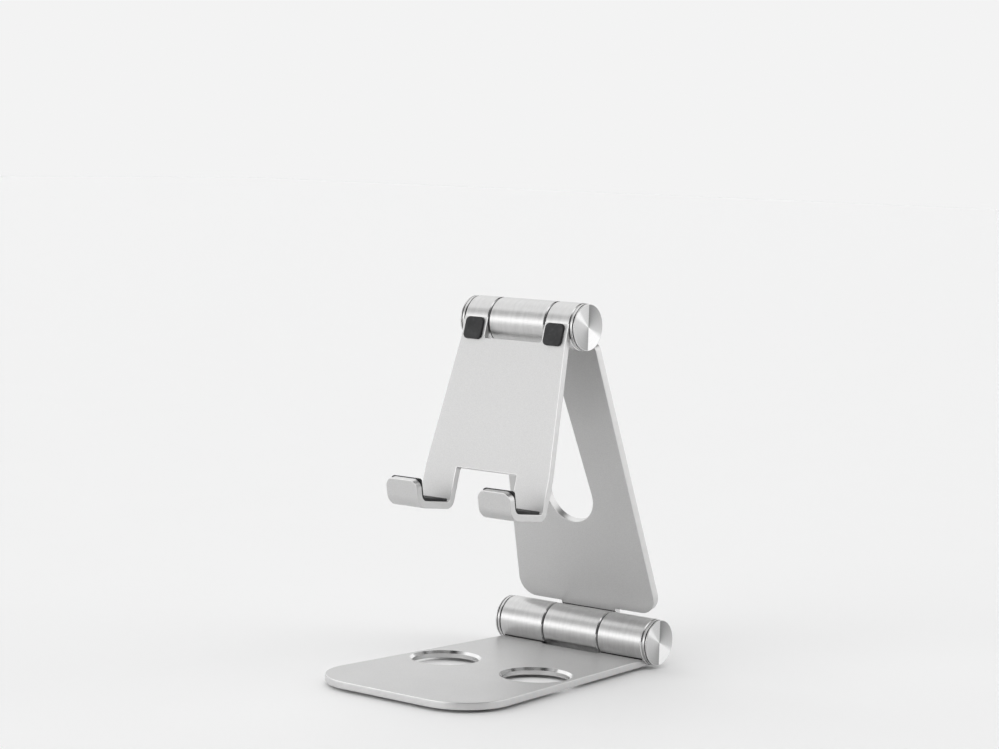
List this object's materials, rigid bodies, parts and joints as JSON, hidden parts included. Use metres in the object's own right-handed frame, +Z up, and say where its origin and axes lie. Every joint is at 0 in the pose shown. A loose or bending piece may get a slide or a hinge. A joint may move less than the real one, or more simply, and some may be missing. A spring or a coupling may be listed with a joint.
{
  "type": "phone stand",
  "caption": "Folding aluminium phone stand: a flat base, a leaning upright and a hooked cradle on two friction hinges.",
  "frame": {"origin": "on the table, under the middle of the footprint", "axes": "+X along the hinges to the right, +Y to the back, +Z up"},
  "size_m": [0.0716, 0.1134, 0.1267],
  "materials": {
    "satin_aluminium": "bead-blasted and clear anodised, bright bevelled edges",
    "spun_aluminium": "turned face with a bright bevel",
    "pad_silicone": "matt black silicone",
    "foot_silicone": "matt dark silicone",
    "washer_polymer": "matt black",
    "zinc_steel": "zinc plated",
    "spring_steel": "phosphated spring steel",
    "bronze": "sintered bronze"
  },
  "bodies": {
    "base": {"base_plate": "satin_aluminium", "foot_front_left": "foot_silicone", "foot_front_right": "foot_silicone", "foot_rear_left": "foot_silicone", "foot_rear_right": "foot_silicone", "lower_pivot_screw": "zinc_steel", "lower_lock_nut": "zinc_steel", "lower_disc_springs": "spring_steel", "lower_thrust_washer": "zinc_steel", "lower_friction_washer_left": "washer_polymer", "lower_friction_washer_right": "washer_polymer", "lower_end_cap_left": "spun_aluminium", "lower_end_cap_right": "spun_aluminium"},
    "upright": {"upright_plate": "satin_aluminium", "lower_bushes": "bronze", "upper_bushes": "bronze"},
    "cradle": {"cradle_plate": "satin_aluminium", "ear_pad_left": "pad_silicone", "ear_pad_right": "pad_silicone", "hook_liner_left": "pad_silicone", "hook_liner_right": "pad_silicone", "upper_pivot_screw": "zinc_steel", "upper_lock_nut": "zinc_steel", "upper_disc_springs": "spring_steel", "upper_thrust_washer": "zinc_steel", "upper_friction_washer_left": "washer_polymer", "upper_friction_washer_right": "washer_polymer", "upper_end_cap_left": "spun_aluminium", "upper_end_cap_right": "spun_aluminium"}
  },
  "joints": [
    {"name": "lower_hinge", "type": "hinge", "parent": "base", "child": "upright", "pos_m": [0, 0.04875, 0.009], "axis": [1, 0, 0], "range_deg": [-107, 35]},
    {"name": "upper_hinge", "type": "hinge", "parent": "upright", "child": "cradle", "pos_m": [0, 0.01436, 0.11874], "axis": [1, 0, 0], "range_deg": [-90, 38]}
  ]
}
